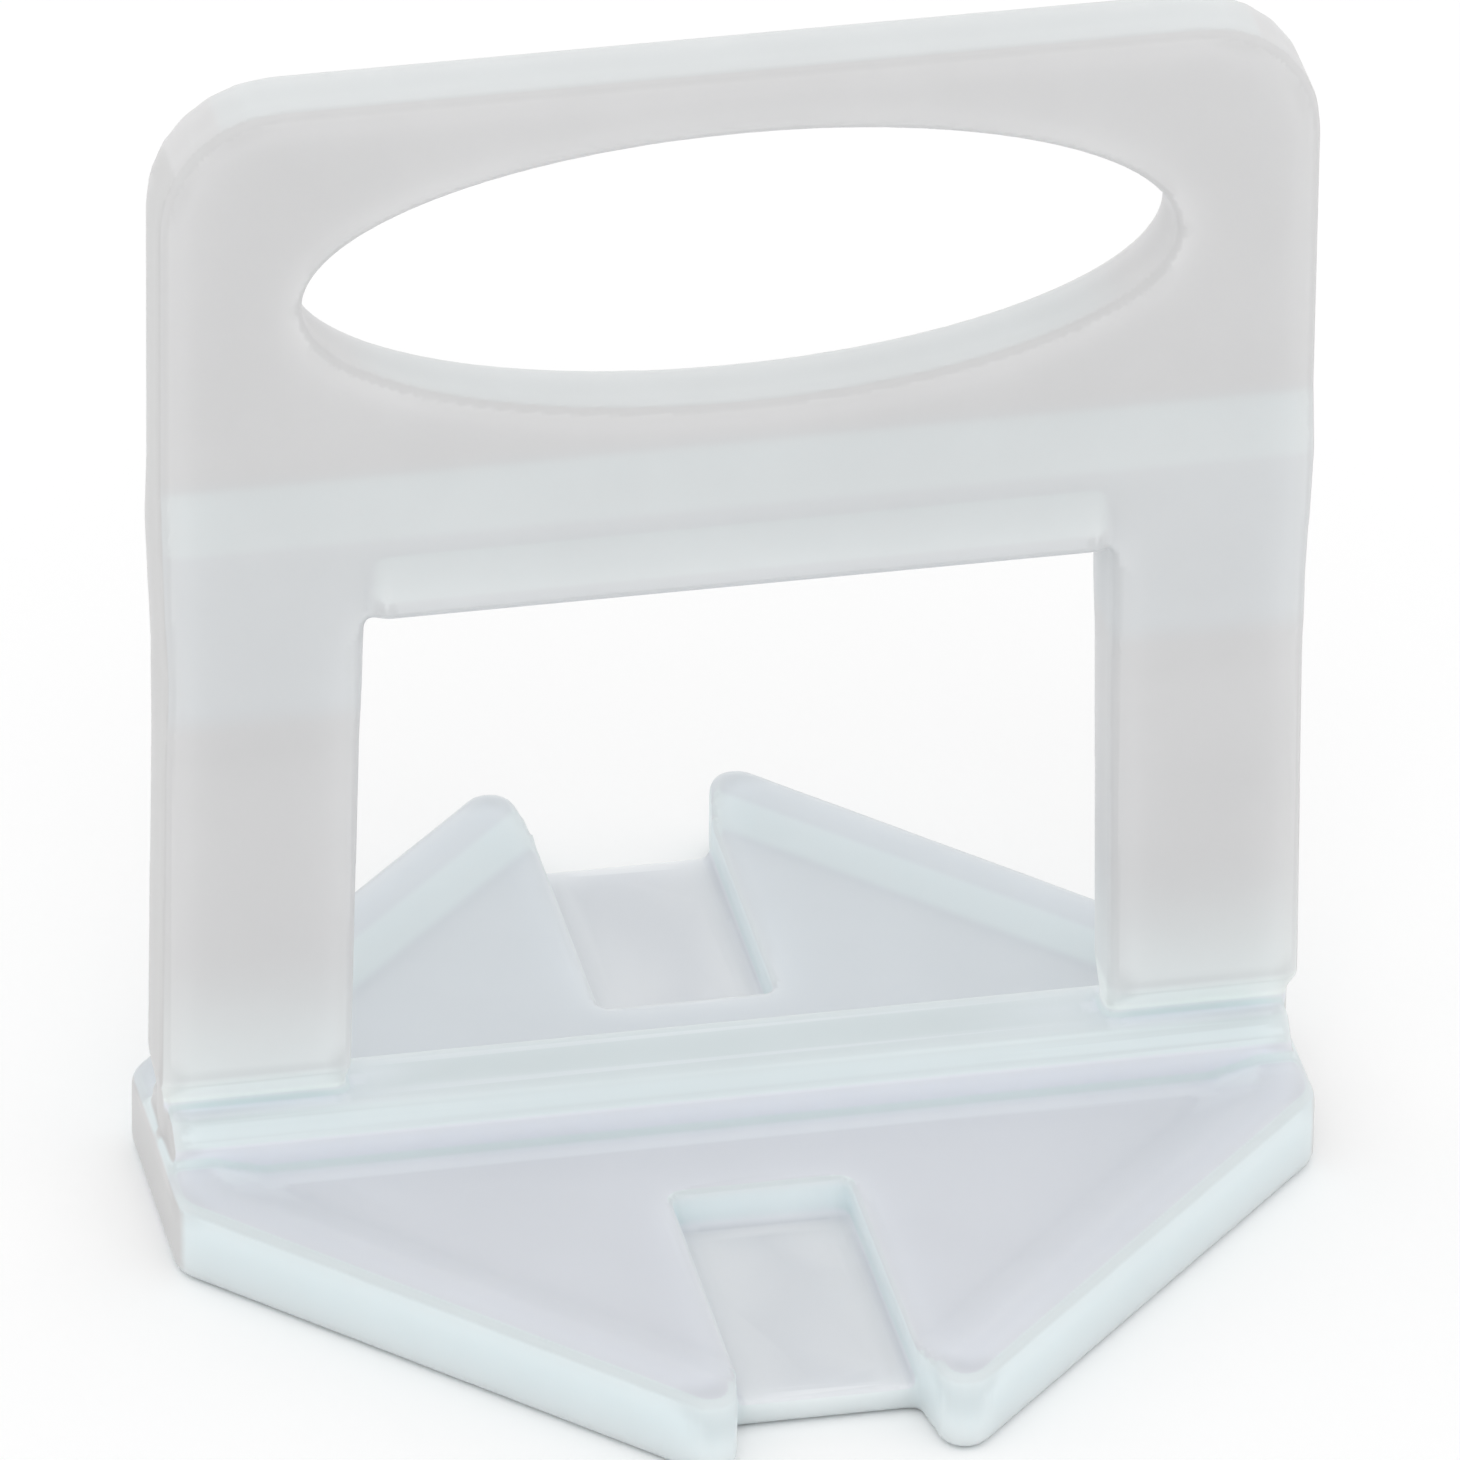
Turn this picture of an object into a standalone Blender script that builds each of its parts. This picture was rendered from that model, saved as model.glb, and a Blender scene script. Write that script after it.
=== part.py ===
"""Tile levelling clip, injection moulded in one piece from natural polypropylene.

The base lies under the edges of neighbouring tiles, the upright plate stands in the joint between them, and a
wedge driven through the window presses the tiles level. A kick on the head then breaks the two thin necks.

All sizes below are in millimetres. X runs along the joint, Y across it and Z up from the underside of the base.
"""

import math

import bmesh
import bpy
from mathutils import Matrix, Vector

MM = 0.001

# Upright plate, seen from the front
HEAD_HALF_WIDTH = 19.0
HEAD_TOP = 41.4
HEAD_CORNER_RADIUS = 4.1
WAIST_TOP = 25.5
WAIST_BOTTOM = 20.8
LEG_HALF_WIDTH_AT_WAIST = 18.8
LEG_INSET_AT_FOOT = 0.05

# Upright plate, seen from the side
HEAD_THICKNESS = 2.8
SHOULDER_TOP = 27.8
SHOULDER_THICKNESS = 3.5
SHOULDER_BOTTOM = 20.0
SHOULDER_TAPER = 2.2
LEG_THICKNESS = 3.0
FOOT_TOP = 5.5
NECK_TOP = 4.5
NECK_THICKNESS = 1.4
NECK_END_RELIEF = 0.15

# Finger hole in the head, an ellipse
HOLE_CENTRE = 34.1
HOLE_HALF_WIDTH = 14.3
HOLE_HALF_HEIGHT = 4.9

# Window that the wedge passes through, with a thicker lip above it
WINDOW_TOP = 22.6
WINDOW_HALF_WIDTH_AT_TOP = 12.3
WINDOW_HALF_WIDTH_AT_FOOT = 12.65
WINDOW_CORNER_RADIUS = 0.3
LIP_THICKNESS = 4.2
LIP_TOP = 24.9
LIP_FULL_HEIGHT = 23.4
LIP_END_SLOPE = 0.6

# Base, seen from above
BASE_HALF_WIDTH = 19.0
SIDE_HALF_DEPTH = 4.3
SIDE_CORNER_RADIUS = 1.4
SLANT_ANGLE = math.radians(46.2)
EAR_TIP_OFFSET = 3.6
EAR_TIP_RADIUS = 0.9
EAR_LENGTH = 3.66
NOTCH_HALF_WIDTH = 3.0
NOTCH_CORNER_RADIUS = 0.3

# Base, seen from the side
RIM_HEIGHT = 2.8
RIM_WIDTH = 1.6
DISH_SLOPE_WIDTH = 1.7
DISH_FLOOR = 2.3

# Bar across the middle of the base, under the legs
BAR_END_INSET = 0.35
BAR_HEIGHT = 4.15
BAR_THICKNESS = 4.24
BAR_CHAMFER = 0.74
BAR_EDGE_RADIUS = 0.2

# Pockets in the base, front and rear, open to the notches
POCKET_FLOOR = 1.0
POCKET_WALL = 5.5
POCKET_WALL_SLOPE = 0.75
POCKET_HALF_WIDTH = 2.95
POCKET_CORNER_RADIUS = 0.4

# How far a cutter reaches past what it cuts, and how far what joins the base is sunk into it
OVERSHOOT = 0.5
ROOT = 1.0

# Radius that the mould leaves on outer edges
EDGE_RADIUS = 0.35

# How finely curves are divided, and the bend beyond which an edge is shaded sharp
ARC_STEP = math.radians(15)
ELLIPSE_POINTS = 72
EDGE_STEPS = 3
SHARP_ANGLE = math.radians(35)


def clear_scene():
    for obj in list(bpy.data.objects):
        bpy.data.objects.remove(obj, do_unlink=True)


def arc_points(corner, before, after, radius):
    """Points of the arc that rounds one corner, from the edge towards before to the edge towards after."""
    to_before = (before - corner).normalized()
    to_after = (after - corner).normalized()
    half_angle = to_before.angle(to_after) / 2
    centre = corner + (to_before + to_after).normalized() * radius / math.sin(half_angle)
    start = corner + to_before * radius / math.tan(half_angle) - centre
    end = corner + to_after * radius / math.tan(half_angle) - centre
    turn = math.atan2(start.cross(end), start.dot(end))
    steps = max(2, math.ceil(abs(turn) / ARC_STEP))
    return [centre + Matrix.Rotation(turn * step / steps, 2) @ start for step in range(steps + 1)]


def rounded(corners):
    """Outline through corners given as (x, y, radius). A radius of 0 keeps the corner sharp."""
    places = [Vector(corner[:2]) for corner in corners]
    points = []
    for index, place in enumerate(places):
        radius = corners[index][2]
        if radius > 0:
            following = places[(index + 1) % len(places)]
            points += arc_points(place, places[index - 1], following, radius)
        else:
            points.append(place)
    return points


def mirrored(half):
    """A whole outline from its right half, listed from bottom to top."""
    return half + [(-corner[0], *corner[1:]) for corner in reversed(half)]


def inset(outline, distance):
    """The outline moved to its left by distance, which is inwards where it runs anticlockwise."""
    points = [Vector(point) for point in outline]
    moved = []
    for index, point in enumerate(points):
        arriving = (point - points[index - 1]).normalized()
        leaving = (points[(index + 1) % len(points)] - point).normalized()
        mitre = (arriving.orthogonal() + leaving.orthogonal()).normalized()
        moved.append(point + mitre * distance / mitre.dot(arriving.orthogonal()))
    return moved


def round_edge_rings(outline, half_height, radius):
    """Rings of points from the top face of a plate, around its rounded edge, to its bottom face."""
    angles = [math.pi / 2 * step / EDGE_STEPS for step in range(EDGE_STEPS + 1)]
    rings = []
    for angle in angles:
        height = half_height - radius + radius * math.cos(angle)
        rings.append([(x, y, height) for x, y in inset(outline, radius - radius * math.sin(angle))])
    lower = [[(x, y, -height) for x, y, height in ring] for ring in reversed(rings)]
    return rings + lower


def round_edged_plate(outlines, thickness, radius):
    """Plate through z = 0 with one anticlockwise outline, clockwise holes and rounded edges."""
    mesh = bmesh.new()
    top_edges = []
    bottom_edges = []
    for outline in outlines:
        rings = [
            [mesh.verts.new(point) for point in ring]
            for ring in round_edge_rings(outline, thickness / 2, radius)
        ]
        for upper, lower in zip(rings, rings[1:]):
            for index in range(len(outline)):
                mesh.faces.new((upper[index - 1], lower[index - 1], lower[index], upper[index]))
        for edges, ring in ((top_edges, rings[0]), (bottom_edges, rings[-1])):
            edges += [mesh.edges.get((ring[index - 1], ring[index])) for index in range(len(ring))]
    bmesh.ops.triangle_fill(mesh, use_beauty=True, edges=top_edges, normal=(0, 0, 1))
    bmesh.ops.triangle_fill(mesh, use_beauty=True, edges=bottom_edges, normal=(0, 0, -1))
    bmesh.ops.recalc_face_normals(mesh, faces=mesh.faces)
    return mesh


def loft(outlines, heights):
    """Closed solid through anticlockwise outlines of as many points, each at its height."""
    mesh = bmesh.new()
    rings = [
        [mesh.verts.new((x, y, height)) for x, y in outline] for outline, height in zip(outlines, heights)
    ]
    mesh.faces.new(list(reversed(rings[0])))
    mesh.faces.new(rings[-1])
    for lower, upper in zip(rings, rings[1:]):
        for index in range(len(lower)):
            mesh.faces.new((lower[index - 1], lower[index], upper[index], upper[index - 1]))
    return mesh


def add_object(name, mesh, turn=Matrix.Identity(4)):
    """Turns a mesh drawn in millimetres into an object, scaled to metres."""
    bmesh.ops.transform(mesh, matrix=Matrix.Scale(MM, 4) @ turn, verts=mesh.verts)
    data = bpy.data.meshes.new(name)
    mesh.to_mesh(data)
    mesh.free()
    data.shade_smooth()
    data.set_sharp_from_angle(angle=SHARP_ANGLE)
    obj = bpy.data.objects.new(name, data)
    bpy.context.scene.collection.objects.link(obj)
    return obj


def combine(obj, operation, tool):
    """Adds a Boolean modifier with tool, which stays in the scene as a guide."""
    tool.hide_render = True
    tool.display_type = "WIRE"
    modifier = obj.modifiers.new(f"{operation.title()} {tool.name}", "BOOLEAN")
    modifier.operation = operation
    modifier.object = tool
    modifier.solver = "EXACT"


def upright_outline():
    """Front view of the upright: two legs, a slight waist above them and a head with round corners."""
    root = BAR_HEIGHT - ROOT
    foot = BASE_HALF_WIDTH - LEG_INSET_AT_FOOT
    spread = (WINDOW_HALF_WIDTH_AT_FOOT - WINDOW_HALF_WIDTH_AT_TOP) / (WINDOW_TOP - BAR_HEIGHT)
    return rounded(
        mirrored(
            [
                (WINDOW_HALF_WIDTH_AT_TOP, WINDOW_TOP, WINDOW_CORNER_RADIUS),
                (WINDOW_HALF_WIDTH_AT_TOP + spread * (WINDOW_TOP - root), root, 0),
                (foot - NECK_END_RELIEF, root, 0),
                (foot - NECK_END_RELIEF, NECK_TOP, 0),
                (foot, FOOT_TOP, 0),
                (LEG_HALF_WIDTH_AT_WAIST, WAIST_BOTTOM, 0),
                (HEAD_HALF_WIDTH, WAIST_TOP, 0),
                (HEAD_HALF_WIDTH, HEAD_TOP, HEAD_CORNER_RADIUS),
            ]
        )
    )


def hole_outline():
    """Front view of the finger hole, clockwise."""
    angles = [-math.tau * step / ELLIPSE_POINTS for step in range(ELLIPSE_POINTS)]
    return [(HOLE_HALF_WIDTH * math.cos(a), HOLE_CENTRE + HOLE_HALF_HEIGHT * math.sin(a)) for a in angles]


def section_profile():
    """Height and thickness of the upright at each crease, from the necks to the head."""
    return [
        (BAR_HEIGHT - ROOT, NECK_THICKNESS),
        (NECK_TOP, NECK_THICKNESS),
        (FOOT_TOP, LEG_THICKNESS),
        (SHOULDER_BOTTOM - SHOULDER_TAPER, LEG_THICKNESS),
        (SHOULDER_BOTTOM, SHOULDER_THICKNESS),
        (WAIST_TOP, SHOULDER_THICKNESS),
        (SHOULDER_TOP, HEAD_THICKNESS),
        (HEAD_TOP, HEAD_THICKNESS),
    ]


def between(value, start, end):
    """0 before start, 1 past end and a straight ramp between them, in either direction."""
    return min(max((value - start) / (end - start), 0), 1)


def upright_thickness(x, z):
    """Thickness of the upright at a point of its front view: its section, and the lip over the window."""
    thickness = HEAD_THICKNESS
    profile = section_profile()
    for (low, at_low), (high, at_high) in zip(profile, profile[1:]):
        if z <= high:
            thickness = at_low + (at_high - at_low) * between(z, low, high)
            break
    if z < WINDOW_TOP - WINDOW_CORNER_RADIUS:
        return thickness
    lip = WINDOW_HALF_WIDTH_AT_TOP
    growth = between(z, LIP_TOP, LIP_FULL_HEIGHT) * between(abs(x), lip, lip - LIP_END_SLOPE)
    return thickness + (LIP_THICKNESS - SHOULDER_THICKNESS) * growth


def crease(mesh, place, normal):
    """Splits the faces that a plane crosses, so that the surface can bend there."""
    everything = mesh.verts[:] + mesh.edges[:] + mesh.faces[:]
    bmesh.ops.bisect_plane(mesh, geom=everything, dist=0.0001, plane_co=place, plane_no=normal)


def make_upright():
    """The plate that stands in the joint, drawn lying down: an even plate, creased and pressed to its section."""
    even = LIP_THICKNESS
    mesh = round_edged_plate([upright_outline(), hole_outline()], even, EDGE_RADIUS)
    for height in [height for height, _ in section_profile()[1:-1]] + [LIP_TOP, LIP_FULL_HEIGHT]:
        crease(mesh, (0, height, 0), (0, 1, 0))
    for side in (-1, 1):
        for lip_end in (WINDOW_HALF_WIDTH_AT_TOP, WINDOW_HALF_WIDTH_AT_TOP - LIP_END_SLOPE):
            crease(mesh, (side * lip_end, 0, 0), (1, 0, 0))
    bmesh.ops.triangulate(mesh, faces=mesh.faces)
    for vertex in mesh.verts:
        pressed = (even - upright_thickness(vertex.co.x, vertex.co.y)) / 2
        vertex.co.z -= math.copysign(pressed, vertex.co.z)
    return add_object("upright", mesh, Matrix.Rotation(math.pi / 2, 4, "X"))


def ear_tip_depth():
    """Where the slanted edge would end if its corner were sharp."""
    return SIDE_HALF_DEPTH + (BASE_HALF_WIDTH - EAR_TIP_OFFSET) * math.tan(SLANT_ANGLE)


def notch_depth():
    """Where the notch between two ears begins, measured from the middle of the base."""
    return ear_tip_depth() - EAR_LENGTH


def base_outline():
    """Plan of the base: straight sides, four slanted edges and a notch between the two ears at each end."""
    quarter = [
        (BASE_HALF_WIDTH, SIDE_HALF_DEPTH, SIDE_CORNER_RADIUS),
        (EAR_TIP_OFFSET, ear_tip_depth(), EAR_TIP_RADIUS),
        (NOTCH_HALF_WIDTH, notch_depth(), NOTCH_CORNER_RADIUS),
    ]
    rear_half = mirrored(quarter)
    front_half = [(-x, -y, radius) for x, y, radius in rear_half]
    return rounded(rear_half + front_half)


def make_slab():
    slab = round_edged_plate([base_outline()], RIM_HEIGHT, EDGE_RADIUS)
    return add_object("tile_clip", slab, Matrix.Translation((0, 0, RIM_HEIGHT / 2)))


def dish_outline(distance):
    """Plan of the dish at one level, a hexagon that keeps its distance from the side and slanted edges."""
    normal = Vector((math.sin(SLANT_ANGLE), math.cos(SLANT_ANGLE)))
    slant = normal.dot(Vector((BASE_HALF_WIDTH, SIDE_HALF_DEPTH))) - distance
    side = BASE_HALF_WIDTH - distance
    corner = (slant - normal.x * side) / normal.y
    apex = slant / normal.y
    return [(side, -corner), (side, corner), (0, apex), (-side, corner), (-side, -corner), (0, -apex)]


def make_dish():
    """Cutter for the shallow dish inside the rim, with its sloping border."""
    slope = DISH_SLOPE_WIDTH / (RIM_HEIGHT - DISH_FLOOR)
    top = dish_outline(RIM_WIDTH - slope * OVERSHOOT)
    floor = dish_outline(RIM_WIDTH + DISH_SLOPE_WIDTH)
    return add_object("dish", loft([floor, top], [DISH_FLOOR, RIM_HEIGHT + OVERSHOOT]))


def pocket_outline(wall):
    """Plan of the rear pocket at one level, from its inner wall to just past the notch's edge."""
    mouth = notch_depth() + OVERSHOOT
    return rounded(
        [
            (-POCKET_HALF_WIDTH, wall, POCKET_CORNER_RADIUS),
            (POCKET_HALF_WIDTH, wall, POCKET_CORNER_RADIUS),
            (NOTCH_HALF_WIDTH, mouth, 0),
            (-NOTCH_HALF_WIDTH, mouth, 0),
        ]
    )


def make_pocket(name, turn):
    """Cutter for one pocket. Its inner wall leans back a little as it rises."""
    floor = pocket_outline(POCKET_WALL + POCKET_WALL_SLOPE)
    cutter = loft([floor, pocket_outline(POCKET_WALL)], [POCKET_FLOOR, RIM_HEIGHT + OVERSHOOT])
    return add_object(name, cutter, Matrix.Rotation(turn, 4, "Z"))


def make_bar():
    """The bar under the legs, a chamfered section carried across the base."""
    half = BAR_THICKNESS / 2
    end = BASE_HALF_WIDTH - BAR_END_INSET
    section = rounded(
        mirrored(
            [
                (half, DISH_FLOOR - ROOT, 0),
                (half, BAR_HEIGHT - BAR_CHAMFER, BAR_EDGE_RADIUS),
                (half - BAR_CHAMFER, BAR_HEIGHT, BAR_EDGE_RADIUS),
            ]
        )
    )
    turn = Matrix.Rotation(math.pi / 2, 4, "Z") @ Matrix.Rotation(math.pi / 2, 4, "X")
    return add_object("bar", loft([section, section], [-end, end]), turn)


def natural_polypropylene():
    material = bpy.data.materials.new("natural_polypropylene")
    material.use_nodes = True
    surface = material.node_tree.nodes["Principled BSDF"]
    surface.inputs["Base Color"].default_value = (0.62, 0.65, 0.66, 1)
    surface.inputs["Roughness"].default_value = 0.38
    surface.inputs["Metallic"].default_value = 0
    surface.inputs["IOR"].default_value = 1.49
    return material


def main():
    clear_scene()
    clip = make_slab()
    combine(clip, "DIFFERENCE", make_dish())
    combine(clip, "DIFFERENCE", make_pocket("rear_pocket", 0))
    combine(clip, "DIFFERENCE", make_pocket("front_pocket", math.pi))
    combine(clip, "UNION", make_bar())
    combine(clip, "UNION", make_upright())
    clip.data.materials.append(natural_polypropylene())


main()
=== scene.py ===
"""The looks of a tile levelling clip of natural polypropylene, on a plain white floor.

The scene's piece is made from the CAD solid: its edges and inner corners are softened as a mould leaves them.
"""

import math

import bmesh
import bpy
from mathutils import Matrix, Vector
from mathutils.bvhtree import BVHTree


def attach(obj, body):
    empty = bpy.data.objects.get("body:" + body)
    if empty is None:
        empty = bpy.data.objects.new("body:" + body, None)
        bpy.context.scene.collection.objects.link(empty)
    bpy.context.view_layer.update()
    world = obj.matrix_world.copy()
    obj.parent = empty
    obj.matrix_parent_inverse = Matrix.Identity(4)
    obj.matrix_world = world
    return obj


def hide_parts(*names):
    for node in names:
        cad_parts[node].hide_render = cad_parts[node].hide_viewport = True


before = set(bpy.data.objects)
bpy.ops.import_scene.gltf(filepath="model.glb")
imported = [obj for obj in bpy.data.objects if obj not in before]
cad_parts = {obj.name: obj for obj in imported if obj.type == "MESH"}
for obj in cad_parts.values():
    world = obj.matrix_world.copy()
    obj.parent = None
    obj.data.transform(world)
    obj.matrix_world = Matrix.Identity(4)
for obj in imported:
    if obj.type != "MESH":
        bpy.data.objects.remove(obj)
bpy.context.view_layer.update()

MM = 0.001

# Softening of the moulded surface, in millimetres
WELD = 0.001
VOXEL = 0.16
SMOOTHING_STEP = 0.5
SMOOTHING_ROUNDS = 5
KEPT_SHARE = 0.3

# Fans of rays: how near an edge is, through the plastic, and how enclosed the surface is, through the air
FAN_RAYS = 8
FAN_START = 0.02
EDGE_SPREAD = 3.0
EDGE_REACH = 2.0
CORNER_SPREAD = 1.3
CORNER_REACH = 5.0

# Tones of the upright, with painted light on its feet, neck, upward slopes and top
UPRIGHT_COLOUR = (0.677, 0.677, 0.68)
SHOULDER_COLOUR = (0.684, 0.70, 0.711)
# Painted light: the legs lighter towards their feet, as light from the floor comes up through the plastic
FOOT_LIGHT_COLOUR = (0.77, 0.80, 0.80)
# Painted light: the neck between legs and bar much lighter, lifting the shade of that crevice
NECK_LIGHT_COLOUR = (0.87, 0.92, 0.905)
# Painted light: faces of the upright that turn a little upwards, below its top, lighter as light from above
# falls on them
SLANT_LIGHT_COLOUR = (0.73, 0.77, 0.77)
# Painted light: faces turned upwards lighter, as light from above falls on them
TOP_LIGHT_COLOUR = (0.69, 0.71, 0.715)

# Tones of the base: its own front and rear tones, and painted light on its front-facing slopes, pockets, inner
# corners and walls
FRONT_COLOUR = (0.675, 0.698, 0.74)
REAR_COLOUR = (0.66, 0.70, 0.732)
# Painted light: the dish's sloping border lighter where it faces the front, towards the light
SLOPE_LIGHT_COLOUR = (0.71, 0.775, 0.79)
# Painted light: the low pocket floors lighter, lifting the shade of the recesses
POCKET_LIGHT_COLOUR = (0.695, 0.725, 0.765)
# Painted light: inner corners lighter, lifting the shade that gathers in them
CORNER_LIGHT_COLOUR = (0.82, 0.85, 0.89)
# Painted light: the base's walls lighter, as light from the floor comes through them
WALL_LIGHT_COLOUR = (0.745, 0.82, 0.84)

# Tones of the bar under the legs: its own tone, a painted highlight on its chamfers and painted light on the
# strip along its foot
BAR_COLOUR = (0.65, 0.71, 0.725)
# Painted highlight: the chamfers lighter where they face up and to the front
CHAMFER_HIGHLIGHT_COLOUR = (0.73, 0.795, 0.81)
# Painted light: the strip along the bar's foot lighter, lifting the shade where it meets the dish
STRIP_LIGHT_COLOUR = (0.775, 0.80, 0.845)

# Painted shade on the narrow sides of the upright and of the base
SIDE_SHADE_COLOUR = (0.62, 0.62, 0.62)

# Places between which one tone turns into the next, in millimetres: heights, depths and distances to the side
LEG_HEIGHTS = (11.0, 4.5)
NECK_HEIGHTS = (5.8, 5.2)
SHOULDER_FOOT_HEIGHTS = (18.6, 19.8)
SHOULDER_TOP_HEIGHTS = (28.4, 27.2)
SLANT_LIGHT_HEIGHTS = (28.6, 28.0)
FRONT_TO_REAR_DEPTHS = (-3.0, 3.0)
POCKET_HEIGHTS = (1.6, 1.2)
BAR_DEPTHS = (2.5, 2.15)
BASE_HEIGHTS = (4.5, 4.2)
SIDE_DISTANCES = (17.0, 18.0)

# How far the surface faces up, to the rear or to the side, from -1 to 1, where one tone turns into the next
SLANT_LIGHT_FACING = (0.04, 0.15)
TOP_LIGHT_FACING = (0.8, 0.97)
SLOPE_LIGHT_FACING_UP = (0.99, 0.95)
SLOPE_LIGHT_FACING_REAR = (0.1, -0.1)
WALL_LIGHT_FACING = (0.55, 0.25)
CHAMFER_HIGHLIGHT_FACING = (0.95, 0.8)
STRIP_LIGHT_FACING = (0.5, 0.2)
SIDE_SHADE_FACING = (0.8, 0.95)

# How much of a tone is laid over the one under it
SLANT_LIGHT_SHARE = 0.4
SLOPE_LIGHT_SHARE = 0.9
BAR_CORNER_LIGHT_SHARE = 0.8

# How enclosed the surface is where it turns into the painted light of an inner corner
CORNER_LIGHT_ENCLOSURE = (0.0, 0.45)

# Painted shade: how much darker the plastic is painted towards its upper edges, where more light gets through
EDGE_SHADE_LEVEL = 0.85
EDGE_NEARNESS = (0.1, 0.5)
EDGE_HEIGHTS = (0.5, 2.2)

# Faint clouds in the plastic: their scale for one metre, and how much lighter or darker they are
CLOUD_SCALE = 160
CLOUD_DETAIL = 3
CLOUD_SPAN = (0.3, 0.7)
CLOUD_DEPTH = 0.012

# Gloss of the plastic, and how deep light scatters in it, in millimetres
ROUGHNESS = 0.42
REFRACTION = 1.49
SPECULAR_LEVEL = 0.4
SCATTER_DEPTH = 2.0

# The floor: its size in metres, its drop in millimetres, and its grey as the light sees it
FLOOR_SIZE = 6
FLOOR_DROP = 0.05
FLOOR_GREY = 0.9

# The studio's light: metres and watts
WORLD_STRENGTH = 0.97
KEY_PLACE = (-0.2, -1.1, 1.2)
KEY_SIZE = 0.9
KEY_POWER = 2

# The photograph's camera: millimetres, degrees and pixels
AIM = Vector((0, 0, 18))
AZIMUTH = -11.91
ELEVATION = 31.04
ROLL = 0.73
DISTANCE = 790.7
FOCAL_PIXELS = 24386
FRAME_PIXELS = 1460
AIM_PIXEL = (728.4, 680.1)
SENSOR = 36

# How far the camera sees, in metres
FAR_CLIP = 100


def metres(span):
    return tuple(number * MM for number in span)


def soften_solid(node):
    """A new mesh of the solid with every edge and inner corner rounded by a few tenths of a millimetre."""
    mesh = bmesh.new()
    mesh.from_mesh(node.data)
    bmesh.ops.remove_doubles(mesh, verts=mesh.verts, dist=WELD * MM)
    bmesh.ops.scale(mesh, vec=(1 / MM, 1 / MM, 1 / MM), verts=mesh.verts)
    data = bpy.data.meshes.new("moulded_clip")
    mesh.to_mesh(data)
    mesh.free()
    obj = bpy.data.objects.new("moulded_clip", data)
    bpy.context.scene.collection.objects.link(obj)
    remesh = obj.modifiers.new("Remesh", "REMESH")
    remesh.mode = "VOXEL"
    remesh.voxel_size = VOXEL
    smooth = obj.modifiers.new("Smooth", "SMOOTH")
    smooth.factor = SMOOTHING_STEP
    smooth.iterations = SMOOTHING_ROUNDS
    decimate = obj.modifiers.new("Decimate", "DECIMATE")
    decimate.ratio = KEPT_SHARE
    bpy.context.view_layer.update()
    evaluated = obj.evaluated_get(bpy.context.evaluated_depsgraph_get())
    softened = bpy.data.meshes.new_from_object(evaluated)
    obj.modifiers.clear()
    obj.data = softened
    bpy.data.meshes.remove(data)
    softened.transform(Matrix.Scale(MM, 4))
    softened.shade_smooth()
    return obj


def measure_fan(obj, name, side, spread, reach):
    """Stores at each vertex how soon a fan of rays meets the surface again.

    The value runs from 0, where no ray meets it within reach, to 1, where all meet it at once. The rays run
    inwards through the plastic where side is -1, and outwards through the air where it is 1.
    """
    mesh = bmesh.new()
    mesh.from_mesh(obj.data)
    tree = BVHTree.FromBMesh(mesh)
    values = []
    for vertex in mesh.verts:
        ahead = vertex.normal * side
        across = ahead.orthogonal().normalized() * spread
        start = vertex.co + ahead * FAN_START * MM
        total = 0
        for turn in range(FAN_RAYS):
            ray = ahead + Matrix.Rotation(math.tau * turn / FAN_RAYS, 3, ahead) @ across
            distance = tree.ray_cast(start, ray.normalized(), reach)[3]
            total += reach if distance is None else distance
        values.append(1 - total / (FAN_RAYS * reach))
    mesh.free()
    attribute = obj.data.attributes.new(name, "FLOAT", "POINT")
    attribute.data.foreach_set("value", values)


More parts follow.
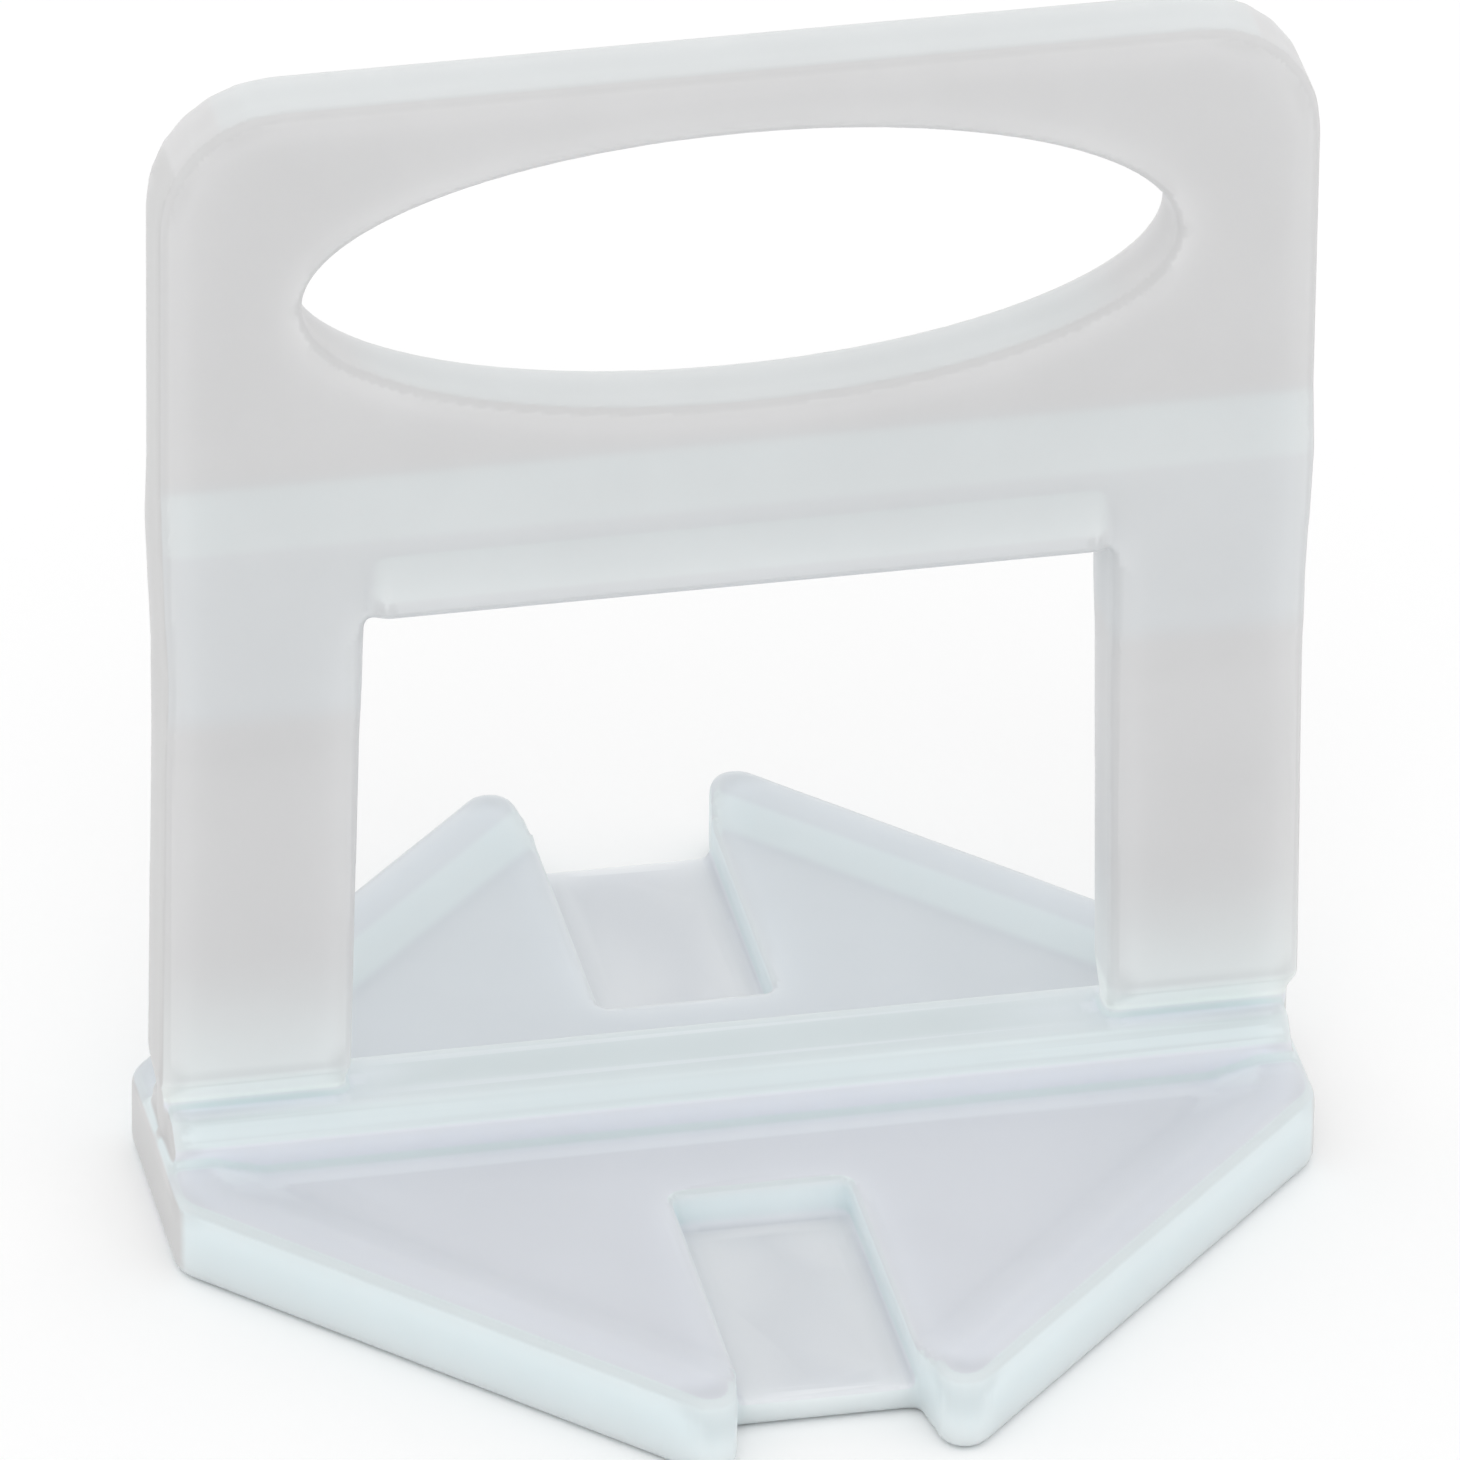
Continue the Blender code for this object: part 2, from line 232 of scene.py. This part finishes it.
def polypropylene():
    """Milky plastic: neutral in the upright, a little blue in the base; painted light makes walls, inner
    corners, pockets, front-facing slopes, chamfers, feet and upward faces lighter, and painted shade makes the
    narrow sides and upper edges darker.
    """
    material = bpy.data.materials.new("natural_polypropylene")
    material.use_nodes = True
    tree = material.node_tree
    nodes = tree.nodes
    links = tree.links
    surface = nodes["Principled BSDF"]

    def ramp(value, span, at_first=0, at_last=1):
        node = nodes.new("ShaderNodeMapRange")
        node.interpolation_type = "SMOOTHSTEP"
        node.inputs["From Min"].default_value = span[0]
        node.inputs["From Max"].default_value = span[1]
        node.inputs["To Min"].default_value = at_first
        node.inputs["To Max"].default_value = at_last
        links.new(value, node.inputs["Value"])
        return node.outputs["Result"]

    def times(first, second):
        node = nodes.new("ShaderNodeMath")
        node.operation = "MULTIPLY"
        for socket, value in zip(node.inputs, (first, second)):
            if isinstance(value, float):
                socket.default_value = value
            else:
                links.new(value, socket)
        return node.outputs[0]

    def blend(share, under, over):
        node = nodes.new("ShaderNodeMix")
        node.data_type = "RGBA"
        links.new(share, node.inputs["Factor"])
        for socket, value in ((node.inputs["A"], under), (node.inputs["B"], over)):
            if isinstance(value, tuple):
                socket.default_value = (*value, 1)
            else:
                links.new(value, socket)
        return node.outputs["Result"]

    def size_of(value):
        node = nodes.new("ShaderNodeMath")
        node.operation = "ABSOLUTE"
        links.new(value, node.inputs[0])
        return node.outputs[0]

    def split(vector):
        node = nodes.new("ShaderNodeSeparateXYZ")
        links.new(vector, node.inputs["Vector"])
        return node.outputs

    def measured(name):
        node = nodes.new("ShaderNodeAttribute")
        node.attribute_name = name
        return node.outputs["Fac"]

    coordinates = nodes.new("ShaderNodeTexCoord")
    place = split(coordinates.outputs["Object"])
    facing = split(coordinates.outputs["Normal"])

    def height(span):
        return ramp(place["Z"], metres(span))

    # The upright, from its feet to its top, with painted light on its feet, neck, upward slopes and top
    upright = blend(height(LEG_HEIGHTS), UPRIGHT_COLOUR, FOOT_LIGHT_COLOUR)
    # painted light in the crevice at the neck
    upright = blend(height(NECK_HEIGHTS), upright, NECK_LIGHT_COLOUR)
    shoulder = times(height(SHOULDER_FOOT_HEIGHTS), height(SHOULDER_TOP_HEIGHTS))
    upright = blend(shoulder, upright, SHOULDER_COLOUR)
    # painted light on the upright's slightly upward faces
    slant_light = times(ramp(facing["Z"], SLANT_LIGHT_FACING), height(SLANT_LIGHT_HEIGHTS))
    upright = blend(times(slant_light, SLANT_LIGHT_SHARE), upright, SLANT_LIGHT_COLOUR)
    # painted light on the faces that turn upwards
    upright = blend(ramp(facing["Z"], TOP_LIGHT_FACING), upright, TOP_LIGHT_COLOUR)

    # The base: its dish, and painted light on the dish's sloping border where it faces the front, on its
    # pockets, inner corners and walls
    base = blend(ramp(place["Y"], metres(FRONT_TO_REAR_DEPTHS)), FRONT_COLOUR, REAR_COLOUR)
    # painted light on the border's slopes that face the front
    slope_light = times(ramp(facing["Z"], SLOPE_LIGHT_FACING_UP), ramp(facing["Y"], SLOPE_LIGHT_FACING_REAR))
    base = blend(times(slope_light, SLOPE_LIGHT_SHARE), base, SLOPE_LIGHT_COLOUR)
    # painted light on the pocket floors
    base = blend(height(POCKET_HEIGHTS), base, POCKET_LIGHT_COLOUR)
    # painted light in inner corners, laid where the surface is enclosed
    enclosed = ramp(measured("enclosure"), CORNER_LIGHT_ENCLOSURE)
    base = blend(enclosed, base, CORNER_LIGHT_COLOUR)
    # painted light on the base's walls
    base = blend(ramp(facing["Z"], WALL_LIGHT_FACING), base, WALL_LIGHT_COLOUR)

    # The bar: its top, painted light in its inner corners, a painted highlight on its chamfers and painted
    # light on the strip along its foot
    # painted light in the bar's inner corners
    bar = blend(times(enclosed, BAR_CORNER_LIGHT_SHARE), BAR_COLOUR, CORNER_LIGHT_COLOUR)
    # painted highlight on the chamfers
    bar = blend(ramp(facing["Z"], CHAMFER_HIGHLIGHT_FACING), bar, CHAMFER_HIGHLIGHT_COLOUR)
    # painted light on the strip along the bar's foot
    bar = blend(ramp(facing["Z"], STRIP_LIGHT_FACING), bar, STRIP_LIGHT_COLOUR)
    base = blend(ramp(size_of(place["Y"]), metres(BAR_DEPTHS)), base, bar)

    # Painted shade on the narrow sides, over upright and base
    tone = blend(height(BASE_HEIGHTS), upright, base)
    beside = ramp(size_of(place["X"]), metres(SIDE_DISTANCES))
    side_shade = times(ramp(size_of(facing["X"]), SIDE_SHADE_FACING), beside)
    tone = blend(side_shade, tone, SIDE_SHADE_COLOUR)

    # Clouds, and painted shade near the upper edges
    clouds = nodes.new("ShaderNodeTexNoise")
    clouds.inputs["Scale"].default_value = CLOUD_SCALE
    clouds.inputs["Detail"].default_value = CLOUD_DETAIL
    links.new(coordinates.outputs["Object"], clouds.inputs["Vector"])
    level = ramp(clouds.outputs["Fac"], CLOUD_SPAN, 1 - CLOUD_DEPTH, 1 + CLOUD_DEPTH)
    near_edge = times(ramp(measured("edge"), EDGE_NEARNESS), height(EDGE_HEIGHTS))
    level = times(level, ramp(near_edge, (0, 1), 1, EDGE_SHADE_LEVEL))

    milky = nodes.new("ShaderNodeHueSaturation")
    links.new(level, milky.inputs["Value"])
    links.new(tone, milky.inputs["Color"])
    links.new(milky.outputs["Color"], surface.inputs["Base Color"])
    surface.inputs["Roughness"].default_value = ROUGHNESS
    surface.inputs["IOR"].default_value = REFRACTION
    surface.inputs["Specular IOR Level"].default_value = SPECULAR_LEVEL
    surface.inputs["Subsurface Weight"].default_value = 1
    surface.inputs["Subsurface Radius"].default_value = (1, 1, 1)
    surface.inputs["Subsurface Scale"].default_value = SCATTER_DEPTH * MM
    return material


def make_floor():
    """A white floor that sends a little less light back to the clip than the camera sees."""
    bpy.ops.mesh.primitive_plane_add(size=FLOOR_SIZE, location=(0, 0, -FLOOR_DROP * MM))
    floor = bpy.context.object
    floor.name = "floor"
    material = bpy.data.materials.new("floor")
    material.use_nodes = True
    nodes = material.node_tree.nodes
    links = material.node_tree.links
    surface = nodes["Principled BSDF"]
    surface.inputs["Roughness"].default_value = 1
    surface.inputs["Specular IOR Level"].default_value = 0
    path = nodes.new("ShaderNodeLightPath")
    tint = nodes.new("ShaderNodeMix")
    tint.data_type = "RGBA"
    tint.inputs["A"].default_value = (FLOOR_GREY, FLOOR_GREY, FLOOR_GREY, 1)
    tint.inputs["B"].default_value = (1, 1, 1, 1)
    links.new(path.outputs["Is Camera Ray"], tint.inputs["Factor"])
    links.new(tint.outputs["Result"], surface.inputs["Base Color"])
    floor.data.materials.append(material)


def make_world():
    world = bpy.data.worlds.new("studio")
    world.use_nodes = True
    bpy.context.scene.world = world
    background = world.node_tree.nodes["Background"]
    background.inputs["Color"].default_value = (1, 1, 1, 1)
    background.inputs["Strength"].default_value = WORLD_STRENGTH


def add_softbox(name, place, size, power):
    """A round soft lamp that shines at the object's foot."""
    data = bpy.data.lights.new(name, "AREA")
    data.shape = "DISK"
    data.size = size
    data.energy = power
    lamp = bpy.data.objects.new(name, data)
    lamp.location = place
    lamp.rotation_euler = Vector(place).to_track_quat("Z", "Y").to_euler()
    bpy.context.scene.collection.objects.link(lamp)


def make_camera():
    """A camera that looks past the aim, so that the aim falls on its pixel in the photograph."""
    azimuth = math.radians(AZIMUTH)
    elevation = math.radians(ELEVATION)
    back = Vector((
        math.sin(azimuth) * math.cos(elevation),
        -math.cos(azimuth) * math.cos(elevation),
        math.sin(elevation),
    ))
    right = Vector((math.cos(azimuth), math.sin(azimuth), 0))
    up = back.cross(right)
    turn = Matrix((right, up, back)).transposed() @ Matrix.Rotation(math.radians(ROLL), 3, "Z")
    pixel = DISTANCE / FOCAL_PIXELS
    centre = FRAME_PIXELS / 2
    sideways = (centre - AIM_PIXEL[0]) * pixel
    downwards = (centre - AIM_PIXEL[1]) * pixel
    place = AIM + back * DISTANCE + turn @ Vector((sideways, -downwards, 0))
    data = bpy.data.cameras.new("camera")
    data.sensor_width = SENSOR
    data.lens = SENSOR * FOCAL_PIXELS / FRAME_PIXELS
    data.clip_end = FAR_CLIP
    camera = bpy.data.objects.new("camera", data)
    camera.matrix_world = Matrix.Translation(place * MM) @ turn.to_4x4()
    bpy.context.scene.collection.objects.link(camera)
    bpy.context.scene.camera = camera


clip = soften_solid(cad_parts["tile_clip"])
measure_fan(clip, "edge", -1, EDGE_SPREAD, EDGE_REACH * MM)
measure_fan(clip, "enclosure", 1, CORNER_SPREAD, CORNER_REACH * MM)
clip.data.materials.clear()
clip.data.materials.append(polypropylene())
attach(clip, "root")
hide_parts("tile_clip")

make_floor()
make_world()
add_softbox("key", KEY_PLACE, KEY_SIZE, KEY_POWER)
make_camera()
bpy.context.scene.view_settings.view_transform = "Standard"
